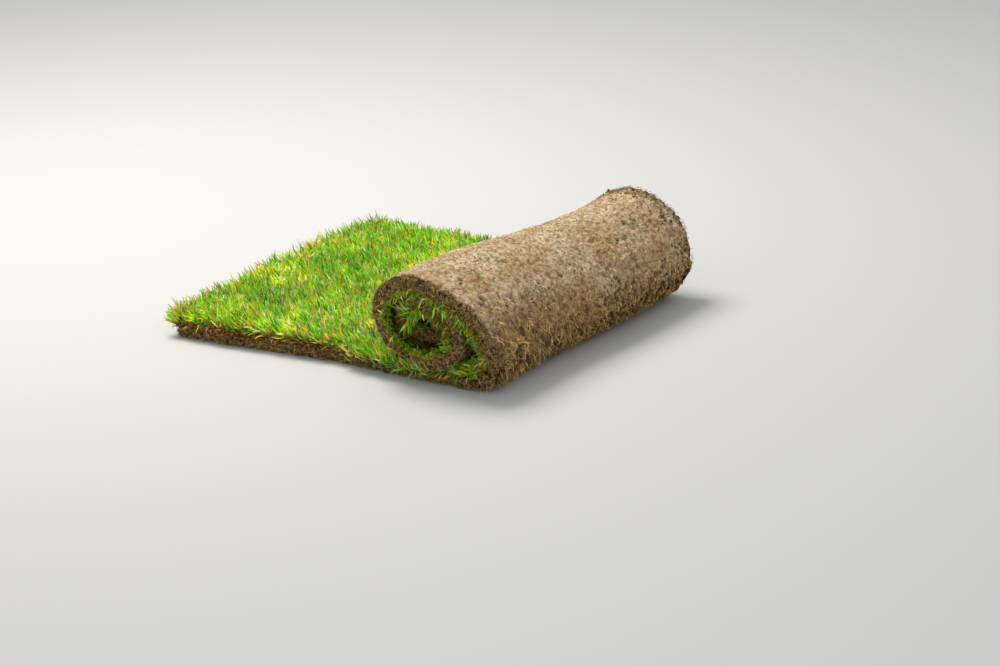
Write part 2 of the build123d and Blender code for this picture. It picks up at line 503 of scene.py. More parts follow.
def ribbons(name, roots, start, end, length, width, tints, segments=4, spin=0.7, wave=0.0, blunt=False):
    """Tapering leaf-like strips, each growing from its root along start and bending towards end."""
    n = len(roots)
    root_tint, middle_tint, tip_tint = tints
    start, end = unit(start), unit(end)
    across = np.cross(start, end) + spin * normal(size=(n, 3)) * 0.5
    centre = roots
    rows, colours = [], []
    for level in range(segments + 1):
        t = level / segments
        direction = unit(start * (1 - t) + end * t + wave * normal(size=(n, 3)))
        side = unit(across - direction * np.sum(across * direction, axis=1, keepdims=True))
        half = (0.5 * width * np.interp(t, BLADE_AT, BLADE_WIDTH))[:, None]
        blend = smooth(t, 0.0, 0.45)
        tip = smooth(t, 0.6, 1.0)
        tint = (root_tint * (1 - blend) + middle_tint * blend) * (1 - tip) + tip_tint * tip
        paired = level < segments or blunt
        rows += [centre - side * half, centre + side * half] if paired else [centre]
        colours += [tint, tint] if paired else [tint]
        centre = centre + direction * (length / segments)[:, None]
    points = np.stack(rows, 1).reshape(-1, 3)
    points[:, 2] = np.maximum(points[:, 2], BLADES_ABOVE_GROUND)
    points[:, 1] = np.clip(points[:, 1], -Y_LIMIT, Y_LIMIT)
    points[:, 0] = np.maximum(points[:, 0], X_LIMIT)
    return add_mesh(name, points, *ribbon_faces(n, segments, blunt), np.stack(colours, 1).reshape(-1, 3))


def linear(red, green, blue):
    """A screen colour, 0 to 255, as Blender's linear one."""
    c = np.array([red, green, blue]) / 255
    return np.where(c <= 0.04045, c / 12.92, ((c + 0.055) / 1.055) ** 2.4)


def palette(*colours):
    """Several screen colours, one in each row."""
    return np.array([linear(*colour) for colour in colours])


GREENS = palette(
    (138, 236, 16), (172, 246, 36), (100, 216, 12), (190, 248, 70), (80, 190, 20), (118, 230, 44)
)
PALES = palette((206, 252, 150), (186, 250, 168), (244, 252, 176), (255, 238, 172))
YELLOWS = palette((250, 218, 40), (255, 196, 36), (238, 234, 70), (255, 228, 128))
DRY = palette((222, 165, 80), (196, 128, 48), (232, 200, 140), (160, 104, 44))


def pick(table, n):
    """A colour of the table for each of n things, some darker than others."""
    return table[rng.integers(0, len(table), n)] * uniform(0.75, 1.1, (n, 1))


def blade_tints(n, yellow, pale):
    """Colours of root, middle and tip; yellow and pale are each blade's chances of being so."""
    chance = uniform(size=n)
    middle = pick(GREENS, n)
    middle = np.where((chance < yellow)[:, None], pick(YELLOWS, n), middle)
    middle = np.where(((chance >= yellow) & (chance < yellow + pale))[:, None], pick(PALES, n), middle)
    root = middle * 0.55 + pick(YELLOWS, n) * 0.15
    browned = (uniform(size=n) < 0.26)[:, None]
    tip = np.where(browned, pick(YELLOWS, n), middle * 1.05)
    return root, middle, tip


def shaded_tints(n, yellow, pale, darkest, lightest, at_root):
    """The same with a shade for each blade, and darker at the root."""
    root, middle, tip = blade_tints(n, yellow, pale)
    shade = uniform(darkest, lightest, (n, 1))
    return root * shade * at_root, middle * shade, tip * shade


# Underside of the roll's first turn where it hangs over the tail
under_s = np.linspace(ARC_START[5] + 0.3 * (ARC_START[6] - ARC_START[5]), ARC_START[8], 200)
under_x, under_z, _ = on_strip(under_s, 0.0)
in_order = np.argsort(under_x)
ROLL_X, ROLL_Z = under_x[in_order], under_z[in_order]


def headroom(x, y):
    """Free height above the soil at a place on the tail, up to the roll's underside."""
    plain = ROLL_MIDDLE + (x - ROLL_MIDDLE - SHIFTED(y)) / WIDER(y)
    over = np.interp(plain, ROLL_X, ROLL_Z, left=1.0, right=ROLL_Z[-1])
    return np.where(plain < ROLL_X[0], 1.0, over * HIGHER(y)) - SOIL


def sward(name, count, y_low, y_high):
    """Standing grass on the flat tail, leaning away from the roll."""
    x = uniform(-TAIL, 0.0, count)
    y = uniform(y_low, y_high, count)
    side = np.sign(y)
    y = between_edges(x + TAIL, y)
    room = headroom(x - 0.012, y)
    near_end = edge_at(x + TAIL, side) - np.abs(y)
    keep = (room > 0.02) | ((near_end < 0.02) & (uniform(size=count) < 0.8))
    keep &= near_end > 0.0045 + 0.004 * noise_at(x / 0.018, side * 5, 191)
    x, y, room, near_end, side = x[keep], y[keep], room[keep], near_end[keep], side[keep]
    n = len(x)
    place = np.stack([x, y, np.zeros(n)], 1)
    flow = noise(place / 0.11, 201)
    tuft = noise(place / 0.028, 211)
    rim = smooth(-near_end, -0.016, 0)
    cut = smooth(-(x + TAIL), -0.02, 0)
    azimuth = math.pi + 0.1 + 0.8 * flow + 1.2 * tuft + normal(0, 0.95, n)
    leans_out = rim * 0.14 > uniform(size=n)
    azimuth = np.where(leans_out, side * (math.pi / 2 + normal(0, 0.8, n)), azimuth)
    lean = np.clip(0.42 + 0.35 * tuft + normal(0, 0.32, n) + 0.15 * cut, 0.02, 1.4) * (1 - 0.5 * rim)
    bend = lean + uniform(0.2, 1.1, n) * (1 - 0.45 * rim)
    out = np.stack([np.cos(azimuth), np.sin(azimuth), np.zeros(n)], 1)
    start = UPWARD * np.cos(lean)[:, None] + out * np.sin(lean)[:, None]
    end = UPWARD * np.cos(bend)[:, None] + out * np.sin(bend)[:, None]
    length = uniform(0.024, 0.043, n) * (1 + 0.15 * flow) * (1 - 0.35 * rim) * (1 + 0.3 * cut)
    length = np.minimum(length, np.maximum(0.006, room * 1.25))
    width = uniform(0.0028, 0.005, n)
    roots, _ = settle(x + TAIL, y, SOIL - 0.002)
    dead = 0.22 + 0.18 * flow + 0.12 * rim + 0.06 * smooth(-(x + TAIL), -0.1, 0) + 0.15 * tuft
    pale = 0.19 + 0.2 * noise(place / 0.14, 231) + 0.17 * smooth(x, -0.42, -0.15)
    root, middle, tip = blade_tints(n, dead, pale)
    shade = (uniform(0.5, 1.38, n) * np.clip(1.1 + 0.5 * tuft + 0.25 * flow, 0.45, 1.6))[:, None]
    stub = ((near_end < 0.009) | (x < 0.005 - TAIL))[:, None] * uniform(0.3, 1.0, (n, 1))
    root = root * shade * (1 - stub) + pick(DRY, n) * 0.4 * stub
    middle = middle * shade * (1 - 0.55 * stub) + pick(DRY, n) * 0.45 * stub
    tints = (root, middle, tip * shade)
    return ribbons(name, roots, start, end, length, width, tints, segments=3, wave=0.12, blunt=True)


sward_near = sward("grass_tail_near", 36000, -HALF_WIDTH + 0.001, 0.0)
sward_far = sward("grass_tail_far", 34000, 0.0, HALF_WIDTH - 0.001)

# The winding's underside in short steps
fine_s = np.linspace(ARC_START[0], END, 900)
fine_x, fine_z, _ = on_strip(fine_s, 0.0)


def gap_inward(s):
    """Free width between a place on the grass side and the next turn in."""
    x, z, heading = on_strip(s, SOIL)
    nx, nz = -np.sin(heading), np.cos(heading)
    dx = fine_x[None, :] - x[:, None]
    dz = fine_z[None, :] - z[:, None]
    along = dx * nx[:, None] + dz * nz[:, None]
    aside = np.abs(dx * nz[:, None] - dz * nx[:, None])
    ahead = (fine_s[None, :] > s[:, None] + 0.08) & (aside < 0.006) & (along > 0)
    return np.where(ahead, along, 0.03).min(axis=1)


def rolled_grass(name, side, count, front):
    """Grass at one end of the roll: pressed between the turns, or spilling out of them where front is set."""
    s = uniform(TAIL - 0.17, END - 0.02, count)
    gap = gap_inward(s)
    clump = noise_at(s / 0.02, side * 5, 241)
    thin = np.clip(0.8 + 1.2 * clump, 0.1, 1.0) if front else 1.0
    thin = thin * np.clip(0.35 + gap / 0.03, 0, 1) * np.where(s > ARC_START[9], 0.38, 1.0)
    keep = uniform(size=count) < thin
    s, gap, clump = s[keep], gap[keep], clump[keep]
    n = len(s)
    if front:
        back = uniform(0, 0.006, n)
        depth = SOIL + uniform(-0.001, 0.004, n)
        length = uniform(0.009, 0.019, n) * (1 + 0.8 * (uniform(size=n) < 0.14))
    else:
        back = 0.004 + np.minimum(rng.exponential(0.022, n), 0.08)
        depth = SOIL - 0.001
        length = uniform(0.012, 0.028, n)
    roots, heading = settle(s, side * (edge_at(s, side) - back), depth)
    into, along = inward(heading), along_strip(heading)
    rise = np.clip(gap * uniform(0.3, 0.85 if front else 0.95, n) / length, 0.1, 0.95)
    spill = uniform(0.1, 0.8, n) if front else 0.25 * uniform(size=n)
    out = side * spill[:, None] * SIDEWAYS
    slant = ((normal(-0.3, 0.9, n) + 1.2 * clump) * np.maximum(np.sqrt(1 - rise**2), 0.4))[:, None]
    start = into * (rise + 0.15)[:, None] + along * slant + out * 0.7
    end = into * rise[:, None] * 0.6 + along * slant * 1.1 + out * 0.5
    end[:, 2] -= 0.2 + 0.5 * spill
    width = uniform(0.0018 if front else 0.002, 0.0036, n)
    root, middle, tip = blade_tints(n, 0.22 + 0.25 * noise_at(s / 0.04, side, 251), 0.1)
    # Painted shade on blades pressed deep between the turns; spilling blades get painted light and shade, the
    # brightest as highlights
    painted_shading = 0.3 + 1.25 * uniform(size=(n, 1)) ** 1.5 if front else uniform(0.06, 0.34, (n, 1))
    return ribbons(name, roots, start, end, length, width, (root * painted_shading, middle * painted_shading, tip * painted_shading), wave=0.16)


pressed_near = rolled_grass("grass_roll_near", NEAR, 5200, False)
pressed_far = rolled_grass("grass_roll_far", FAR, 4200, False)
spilled_near = rolled_grass("grass_spilling_near", NEAR, 4400, True)
spilled_far = rolled_grass("grass_spilling_far", FAR, 2600, True)


def thatch(name, n):
    """Dead blades and stems where the grass meets the soil's cut edges."""
    along_sides = uniform(size=n) < 0.85
    rolled = uniform(size=n) < 0.4
    s_rolled = uniform(TAIL, ARC_START[13], n)
    s = np.where(rolled, s_rolled, uniform(0.0, TAIL, n)) * along_sides
    side = np.where(uniform(size=n) < 0.55, NEAR, FAR)
    edge = edge_at(s, side)
    y_beside = side * (edge - rng.exponential(0.004, n))
    y = np.where(along_sides, y_beside, uniform(-1, 1, n) * edge)
    roots, heading = settle(s, y, SOIL + uniform(-0.006, 0.001, n) + 0.003 * rolled)
    start = normal(0, 0.5, (n, 3))
    start[:, 1] += np.where(along_sides, side * 0.8, 0)
    start[:, 0] += np.where(along_sides, 0, -1.0) - 0.9 * np.sin(heading)
    start[:, 2] += 0.9 * np.cos(heading)
    end = start + normal(0, 0.5, (n, 3))
    end[:, 2] -= 0.9
    length = uniform(0.006, 0.02, n)
    width = uniform(0.0014, 0.0034, n)
    mixed = pick(np.concatenate([DRY[:3], YELLOWS, GREENS[:2]]), n)
    tint = np.where(rolled[:, None], mixed, pick(DRY, n)) * uniform(0.35, 1.1, (n, 1))
    tints = (tint * 0.45, tint * 0.9, tint)
    return ribbons(name, roots, start, end, length, width, tints, segments=3, wave=0.25)


edge_thatch = thatch("dead_grass", 8200)


def strays(name, n):
    """Long blades that lie out past the tail's cut end and its near corner."""
    at_corner = uniform(size=n) < 0.4
    corner_y = -HALF_WIDTH + rng.exponential(0.02, n)
    y = np.where(at_corner, corner_y, uniform(-HALF_WIDTH, HALF_WIDTH, n))
    s = uniform(0.0, 0.012, n)
    roots, _ = settle(s, between_edges(s, np.clip(y, -HALF_WIDTH, HALF_WIDTH)), SOIL - 0.001)
    start = normal(0, 0.35, (n, 3)) + np.array([-0.7, 0.0, 0.9])
    end = start + normal(0, 0.3, (n, 3)) + np.array([-0.4, 0.0, -0.5])
    patch = noise_at(y / 0.03, 0, 443)
    length = uniform(0.028, 0.05, n) * np.clip(0.8 + 1.3 * patch, 0.3, 1.2)
    end[:, 2] += 0.7 * patch
    end[:, 1] += 0.5 * noise_at(y / 0.02, 0, 447)
    upright = uniform(size=n) < 0.05
    start[:, 2] += 1.2 * upright
    end[:, 2] += 1.4 * upright
    length *= 1 + 0.25 * upright
    root, middle, tip = blade_tints(n, 0.45, 0.1)
    width = uniform(0.0026, 0.0042, n)
    return ribbons(name, roots, start, end, length, width, (root * 0.6, middle, tip), wave=0.15)


stray_blades = strays("stray_blades", 800)


def edge_grass(name, side, n):
    """Grass at the strip's long edge that leans out in front of the roll's end and over the cut soil."""
    at_roll = uniform(size=n) < 0.78
    s_at_roll = uniform(TAIL - 0.27, TAIL + 0.06, n)
    s = np.where(at_roll, s_at_roll, uniform(0.0, TAIL - 0.1, n))
    by_roll = smooth(s, TAIL - 0.28, TAIL - 0.2)
    y = side * (edge_at(s, side) - 0.003 - rng.exponential(0.006, n))
    roots, heading = settle(s, y, SOIL - 0.001)
    clump = noise_at(s / 0.022, side, 411)
    start = normal(0, 0.35, (n, 3))
    start[:, 0] += 0.5 * clump + 0.25 * by_roll - 0.9 * np.sin(heading)
    start[:, 1] += side * uniform(0.0, 0.9, n) * (0.3 + 0.45 * by_roll)
    start[:, 2] += 0.9 * np.cos(heading)
    end = start + normal(0, 0.4, (n, 3))
    end[:, 1] += side * 0.2
    end[:, 2] -= uniform(-0.3, 0.9, n)
    length = uniform(0.02, 0.038, n) * (1 - 0.5 * (1 - by_roll))
    width = uniform(0.002, 0.0038, n)
    tints = shaded_tints(n, 0.3 + 0.2 * clump, 0.16, 0.5, 1.35, 0.7)
    return ribbons(name, roots, start, end, length, width, tints, wave=0.16)


edge_grass_near = edge_grass("edge_grass_near", NEAR, 1700)
edge_grass_far = edge_grass("edge_grass_far", FAR, 1200)


def squeezed_grass(name, side, n):
    """Blades pushed out from under the roll at its end, which turn up in front of it."""
    s = uniform(TAIL - 0.235, TAIL - 0.045, n)
    y = side * (edge_at(s, side) - rng.exponential(0.003, n))
    roots, _ = settle(s, y, SOIL - 0.001)
    clump = noise_at(s / 0.015, side, 431)
    start = normal(0, 0.3, (n, 3))
    start[:, 0] += 0.5 * clump - 0.2
    start[:, 1] += side * uniform(0.6, 1.2, n)
    start[:, 2] += uniform(0.2, 0.7, n)
    end = normal(0, 0.4, (n, 3))
    end[:, 0] += 0.7 * clump - 0.2
    end[:, 2] += 1.0
    length = uniform(0.022, 0.05, n)
    width = uniform(0.002, 0.0038, n)
    tints = shaded_tints(n, 0.25, 0.22, 0.4, 1.25, 0.5)
    return ribbons(name, roots, start, end, length, width, tints, wave=0.14)


squeezed_near = squeezed_grass("squeezed_grass_near", NEAR, 460)
squeezed_far = squeezed_grass("squeezed_grass_far", FAR, 380)

# Long blades over the soil's cut at the near end: along the strip from the bend, way, bend, length, colour
LONG_BLADES = [
    (-0.11, (-0.9, -0.35, 0.15), (-0.9, -0.2, -0.4), 0.052, (196, 222, 120)),
    (-0.115, (-0.7, -0.5, 0.0), (-0.5, -0.25, -0.8), 0.038, (232, 204, 140)),
    (-0.095, (0.0, -0.7, 0.0), (0.1, -0.1, -1.0), 0.04, (110, 190, 90)),
    (-0.04, (0.1, -0.6, 0.0), (-0.2, -0.1, -1.0), 0.024, (238, 214, 60)),
    (-0.025, (0.1, -0.6, 0.1), (-0.8, -0.2, -0.8), 0.022, (240, 200, 50)),
    (0.055, (-1.0, -0.3, 0.0), (-0.95, -0.15, -0.35), 0.06, (150, 226, 110)),
    (0.0, (0.0, -0.6, 0.0), (0.1, -0.1, -1.0), 0.024, (120, 200, 90)),
    (0.04, (-0.5, -0.6, 0.5), (-0.9, -0.1, -0.4), 0.045, (236, 170, 90)),
]


def long_blades(name):
    """The eight long blades that the photo shows one by one."""
    along, start, end, length, colours = zip(*LONG_BLADES)
    s = TAIL + np.array(along)
    roots, _ = settle(s, -(edge_at(s, NEAR) - 0.001), SOIL)
    tint = palette(*colours)
    shape = (np.array(start), np.array(end), np.array(length), np.full(len(s), 0.0034))
    return ribbons(name, roots, *shape, (tint * 0.7, tint, tint), segments=5, spin=0.3, wave=0.1)


long_near = long_blades("long_blades_near")


def core_tuft(name, side, n):
    """Blades that stick out of the roll's open middle, on the strip's inner end."""
    s = END - uniform(0.15, 0.25, n)
    y = side * (edge_at(s, side) - uniform(-0.002, 0.012, n))
    roots, _ = settle(s, y, SOIL + uniform(-0.002, 0.008, n))
    way = uniform(0, 2 * math.pi, n)
    start = np.stack([np.cos(way), side * uniform(0.3, 1.2, n), np.sin(way)], 1)
    end = start + np.array([0.0, -0.5 * side, -0.3])
    length = uniform(0.018, 0.037, n)
    tints = shaded_tints(n, 0.3, 0.16, 0.55, 1.3, 0.6)
    width = uniform(0.003, 0.005, n)
    return ribbons(name, roots, start, end, length, width, tints, wave=0.14)


tuft_near = core_tuft("core_tuft_near", NEAR, 80)
tuft_far = core_tuft("core_tuft_far", FAR, 90)

# Roots
ROOT_TINTS = palette((208, 174, 110), (186, 148, 84), (226, 198, 136), (166, 126, 66))


def threads(name, u, v, angle, turn, length, rise, width, tint, on_end=0, segments=4):
    """Fine roots that follow the underside from u along it and v across, or an end, where v is the depth."""
    rows = []
    for level in range(segments + 1):
        t = level / segments
        lift = rise * math.sin(math.pi * (0.12 + 0.76 * t)) + 0.0003
        if not on_end:
            lift = lift + surface(u, v)
        direction = angle + turn * level
        half = width * (1 - 0.55 * t) / 2
        for way in (1, -1) if level < segments else (0,):
            du = u + way * np.sin(direction) * half
            dv = v + way * np.cos(direction) * half
            if on_end:
                p, _ = settle(du, on_end * (edge_at(du, on_end) + lift), np.clip(dv, -0.001, SOIL))
            else:
                p, _ = settle(du, between_edges(u, np.clip(dv, -HALF_WIDTH, HALF_WIDTH)), -lift)
            rows.append(p)
        u = np.clip(u - np.cos(direction) * length / segments, 0.0005, END - 0.0005)
        v = v + np.sin(direction) * length / segments
    points = np.stack(rows, 1).reshape(-1, 3)
    points[:, 2] = np.maximum(points[:, 2], BLADES_ABOVE_GROUND)
    return add_mesh(name, points, *ribbon_faces(len(u), segments), np.repeat(tint, len(rows), axis=0))


def tuft_shading(s, y, low):
    """Brightness of the roots low on the roll: painted light and shade, alike for the roots of one tuft."""
    p = np.stack([s * 0.6, y, s * 0], 1)
    uneven = 1.7 * noise(p / 0.0095, 471) + 0.6 * noise(p / 0.022, 473)
    return np.clip(1.05 + low * uneven, 0.15, 1.8)[:, None]


def tuft_tints(s, y, dark, bright):
    """Colours of roots in tufts, each with a brightness of its own and the painted light and shade of its
    tuft.
    """
    return pick(ROOT_TINTS, len(s)) * uniform(dark, bright, (len(s), 1)) * tuft_shading(s, y, 1.0)


def roots_on_roll(name, count):
    """Fine roots over the roll's outside, thickest low down on the side away from the tail."""
    s = uniform(TAIL - 0.02, ARC_START[7], count)
    y = uniform(-HALF_WIDTH, HALF_WIDTH, count)
    _, _, heading = on_strip(s, 0.0)
    low = 1 - smooth(heading, 0.9, 2.2)
    near = smooth(-y, -0.1, HALF_WIDTH)
    wanted = 0.02 + 0.2 * low + 0.2 * noise_at(s / 0.06, y / 0.06, 301) + 0.6 * near * low
    keep = uniform(size=count) < np.clip(wanted, 0.02, 1)
    keep &= clear_of_holes(s, y)
    s, y, low, near = s[keep], y[keep], low[keep], near[keep]
    n = len(s)
    length = uniform(0.006, 0.015, n) * (1 + 0.8 * low * uniform(size=n))
    angle = normal(0, 0.7, n) + np.where(uniform(size=n) < 0.25 - 0.1 * low, math.pi / 2, 0)
    rise = uniform(0.0004, 0.0016, n) + (0.005 * low * near + 0.0016 * low) * uniform(size=n)
    width = uniform(0.0006, 0.0011, n)
    # Random brightness, with painted shade low on the roll and painted light and shade from tuft to tuft
    painted_shading = uniform(0.65, 1.25, (n, 1)) * (1.05 - 0.22 * low[:, None]) * tuft_shading(s, y, low)
    turn = normal(0, 0.35, n)
    return threads(name, s, y, angle, turn, length, rise, width, pick(ROOT_TINTS, n) * painted_shading)


def roots_on_end(name, side, n):
    """Fine roots on the soil's cut edge at one end of the roll and along the tail."""
    s = uniform(0, END, n)
    depth = uniform(0.001, SOIL, n)
    angle = uniform(0, 2 * math.pi, n)
    rise = uniform(0.0006, 0.003, n)
    width = uniform(0.0006, 0.0012, n)
    tint = pick(ROOT_TINTS, n) * uniform(0.25, 0.95, (n, 1))
    length = uniform(0.005, 0.014, n)
    turn = normal(0, 0.4, n)
    return threads(name, s, depth, angle, turn, length, rise, width, tint, on_end=side)


hair_roots = roots_on_roll("fine_roots", 19000)
end_roots_near = roots_on_end("fine_roots_near_end", NEAR, 3600)
end_roots_far = roots_on_end("fine_roots_far_end", FAR, 2400)


def mat_roots(name, count):
    """Longer, looping roots that stand clear of the soil low on the outside of the roll."""
    s = TAIL + 0.005 + rng.beta(1.1, 1.5, count) * (ARC_START[3] - TAIL)
    y = uniform(-1, 1, count) * (HALF_WIDTH - 0.004)
    near = smooth(-y, 0.05, HALF_WIDTH)
    keep = uniform(size=count) < 0.35 * noise_at(s / 0.05, y / 0.05, 317) + 0.9 * near
    keep &= clear_of_holes(s, y)
    s, y, near = s[keep], y[keep], near[keep]
    n = len(s)
    angle = normal(0, 0.75, n)
    turn = normal(0, 0.2, n)
    length = uniform(0.011, 0.026, n)
    rise = uniform(0.001, 0.004, n) + 0.005 * near * uniform(size=n)
    width = uniform(0.0008, 0.0014, n)
    return threads(name, s, y, angle, turn, length, rise, width, tuft_tints(s, y, 0.7, 1.4), segments=6)


looped_roots = mat_roots("looping_roots", 4600)


def beard(name, n):
    """Loose roots that hang from the roll where it curves down to the ground, most at the near end."""
    s = TAIL + 0.005 + rng.beta(1.3, 2.4, n) * (ARC_START[2] - TAIL)
    y = (HALF_WIDTH - 0.006) * (1 - 2 * rng.beta(1.9, 0.95, n))
    roots, heading = settle(s, between_edges(s, y), 0.0006)
    out = -inward(heading)
    near = smooth(-y, -0.15, HALF_WIDTH)[:, None]
    start = out * uniform(0.1, 0.6, (n, 1)) * (0.4 + 0.6 * near) + normal(0, 0.5, (n, 3))
    start[:, 2] -= 0.9
    end = normal(0, 0.4, (n, 3)) - out * 0.25
    end[:, 2] -= 1.0
    length = uniform(0.006, 0.02, n) * (0.6 + 0.6 * near[:, 0])
    length = np.minimum(length, roots[:, 2] * 1.1 + 0.004)
    width = uniform(0.0008, 0.0015, n)
    tint = tuft_tints(s, y, 0.4, 1.2)
    tints = (tint * 0.6, tint, tint * 1.05)
    return ribbons(name, roots, start, end, length, width, tints, spin=1.5, wave=0.3)


root_beard = beard("hanging_roots", 3600)


def shag(name, clumps, each):
    """Tufts of root and soil that hang down the outside of the roll, low on the side away from the tail."""
    s0 = TAIL + 0.03 + rng.beta(1.1, 2.0, clumps) * (ARC_START[2] + 0.04 - TAIL)
    y0 = HALF_WIDTH * (0.96 - 1.92 * rng.beta(1.35, 1.0, clumps))
    kept = clear_of_holes(s0, y0)
    s0, y0, clumps = s0[kept], y0[kept], int(np.sum(kept))
    n = clumps * each
    lie = normal(0, 0.35, clumps)
    s = np.repeat(s0, each) + normal(0, 0.0045, n)
    y = np.clip(np.repeat(y0, each) + normal(0, 0.0035, n), -HALF_WIDTH, HALF_WIDTH)
    roots, heading = settle(s, between_edges(s, y), 0.0008 - surface(s, y))
    down, out = -along_strip(heading), -inward(heading)
    sideways = np.repeat(lie, each)[:, None] * SIDEWAYS
    start = down * 0.7 + out * uniform(0.25, 0.9, (n, 1)) + sideways + normal(0, 0.3, (n, 3))
    end = down + sideways - out * 0.45 + normal(0, 0.3, (n, 3))
    length = uniform(0.006, 0.014, n) * (1 + 0.6 * np.repeat(smooth(-y0, -0.1, HALF_WIDTH), each))
    width = uniform(0.0007, 0.0014, n)
    # Each clump gets a brightness of its own, painted light and shade between the clumps
    tint = pick(ROOT_TINTS, n) * np.repeat(uniform(0.3, 1.4, (clumps, 1)), each, axis=0)
    tint = tint * tuft_shading(s, y, 1.0)
    tints = (tint * 0.35, tint * 0.85, tint)
    return ribbons(name, roots, start, end, length, width, tints, segments=3, spin=1.0, wave=0.25)


shaggy_roots = shag("shaggy_roots", 800, 7)

# Loose blades on the roll's outside, as in the photo: along the strip from the bend, across, length, turn
CLIPPINGS = [
    (0.258, -0.222, 0.024, 0.35),
    (0.236, -0.232, 0.012, 0.6),
    (0.182, -0.281, 0.018, -0.6),
    (0.274, 0.181, 0.032, 2.4),
    (0.262, 0.196, 0.02, 2.9),
    (0.24, -0.02, 0.01, 0.4),
    (0.3, -0.16, 0.013, 1.9),
    (0.15, -0.1, 0.01, 1.0),
    (0.21, 0.09, 0.012, -1.2),
    (0.28, 0.05, 0.014, 0.2),
    (0.205, -0.17, 0.01, 2.0),
]
CLIPPING_TINTS = palette((110, 190, 90), (96, 176, 70), (140, 206, 110), (120, 196, 110))


def clippings(name):
    """The few loose blades that lie on the outside of the roll."""
    along, y, length, turn = np.array(CLIPPINGS).T
    s = TAIL + along
    roots, heading = settle(s, between_edges(s, y), -0.0012 - surface(s, y))
    way = along_strip(heading) * np.cos(turn)[:, None] + SIDEWAYS * np.sin(turn)[:, None]
    out = -inward(heading)
    tint = CLIPPING_TINTS[np.arange(len(s)) % len(CLIPPING_TINTS)]
    start, end = way + out * 0.15, way - out * 0.2
    return ribbons(name, roots, start, end, length, length * 0.1 + 0.0012, (tint, tint, tint), spin=0.2)


loose_blades = clippings("loose_clippings")

# Crumbs
CRUMB_TINTS = palette((200, 168, 126), (180, 146, 104), (214, 188, 150), (164, 130, 90))
CLOD_TINTS = palette((150, 118, 78), (112, 84, 54), (178, 146, 106), (92, 68, 42))


def ball(subdivisions):
    """Corners and triangles of an icosphere of radius 1."""
    shape = bmesh.new()
    bmesh.ops.create_icosphere(shape, subdivisions=subdivisions, radius=1.0)
    corners = np.array([corner.co[:] for corner in shape.verts])
    faces = np.array([[corner.index for corner in face.verts] for face in shape.faces])
    shape.free()
    return corners, faces


def lumps(name, s, y, size, tint, subdivisions):
    """Crumbs of soil, each a dented ball, sitting on the outside of the roll."""
    corners, faces = ball(subdivisions)
    n, per = len(s), len(corners)
    centre, _ = settle(s, between_edges(s, y), -size * 0.1 - surface(s, y))
    own = np.repeat(uniform(-50, 50, (n, 1, 3)), per, axis=1) + corners[None]
    dent = 1 + 0.45 * noise(own.reshape(-1, 3) * 1.3, 83).reshape(n, per, 1)
    shape = corners[None] * dent * uniform(0.55, 1.1, (n, 1, 3))
    points = centre[:, None] + shape * size[:, None, None] * 0.5
    points[:, :, 2] = np.maximum(points[:, :, 2], BLADES_ABOVE_GROUND)
    tris = (np.arange(n) * per)[:, None, None] + faces[None]
    return add_mesh(name, points.reshape(-1, 3), NO_QUADS, tris.reshape(-1, 3), np.repeat(tint, per, axis=0))


def small_crumbs(name, n):
    """Crumbs all over the roll's outside."""
    s = uniform(TAIL, ARC_START[7], n)
    y = uniform(-HALF_WIDTH, HALF_WIDTH, n) * 0.97
    size = uniform(0.0016, 0.0038, n)
    return lumps(name, s, y, size, pick(CRUMB_TINTS, n), 1)


def rim_clods(name, n):
    """Larger clods near the roll's torn far rim."""
    s = uniform(ARC_START[2], ARC_START[5], n)
    y = HALF_WIDTH - 0.006 - np.abs(normal(0, 0.022, n))
    size = 0.0022 + 0.0055 * uniform(size=n) ** 3
    return lumps(name, s, y, size, pick(CLOD_TINTS, n), 2)


crumbs = small_crumbs("soil_crumbs", 2400)
clods = rim_clods("soil_clods", 190)

# Materials


def material(name, roughness, specular):
    """A new material with its node tree and shader."""
    mat = bpy.data.materials.new(name)
    mat.use_nodes = True
    shader = mat.node_tree.nodes["Principled BSDF"]
    shader.inputs["Roughness"].default_value = roughness
    shader.inputs["Specular IOR Level"].default_value = specular
    return mat, mat.node_tree, shader


def feed(tree, target, value):
    """Gives an input a plain value, or links it to the socket that the value comes from."""
    if isinstance(value, bpy.types.NodeSocket):
        tree.links.new(value, target)
    else:
        target.default_value = value


def node(tree, kind, *values, **settings):
    """A new node: inputs and properties by name, and values for its first inputs."""
    made = tree.nodes.new(kind)
    for key, value in settings.items():
        if key in made.inputs:
            feed(tree, made.inputs[key], value)
        else:
            setattr(made, key, value)
    for target, value in zip(made.inputs, values):
        feed(tree, target, value)
    return made


def mix_colour(tree, factor, first, second, mode="MIX"):
    """Mixes two colours; each of the three may be a socket or a plain value."""
    mix = node(tree, "ShaderNodeMix", factor, data_type="RGBA", blend_type=mode)
    for colour, target in ((first, mix.inputs[6]), (second, mix.inputs[7])):
        feed(tree, target, colour if isinstance(colour, bpy.types.NodeSocket) else (*colour, 1.0))
    return mix.outputs[2]


def multiplied(tree, first, second):
    """One colour times another."""
    return mix_colour(tree, 1.0, first, second, "MULTIPLY")


def ramp(tree, factor, *stops):
    """A colour ramp; each stop is a place with a grey value or a colour."""
    made = node(tree, "ShaderNodeValToRGB", factor)
    elements = made.color_ramp.elements
    while len(elements) < len(stops):
        elements.new(0.5)
    for element, (at, colour) in zip(elements, stops):
        element.position = at
        element.color = (*colour, 1.0) if hasattr(colour, "__len__") else (colour, colour, colour, 1.0)
    return made.outputs["Color"]


def noise_node(tree, vector, scale, detail, rough=0.6):
    """Blender's own noise, as one value."""
    made = node(tree, "ShaderNodeTexNoise", Vector=vector, Scale=scale, Detail=detail, Roughness=rough)
    return made.outputs["Fac"]


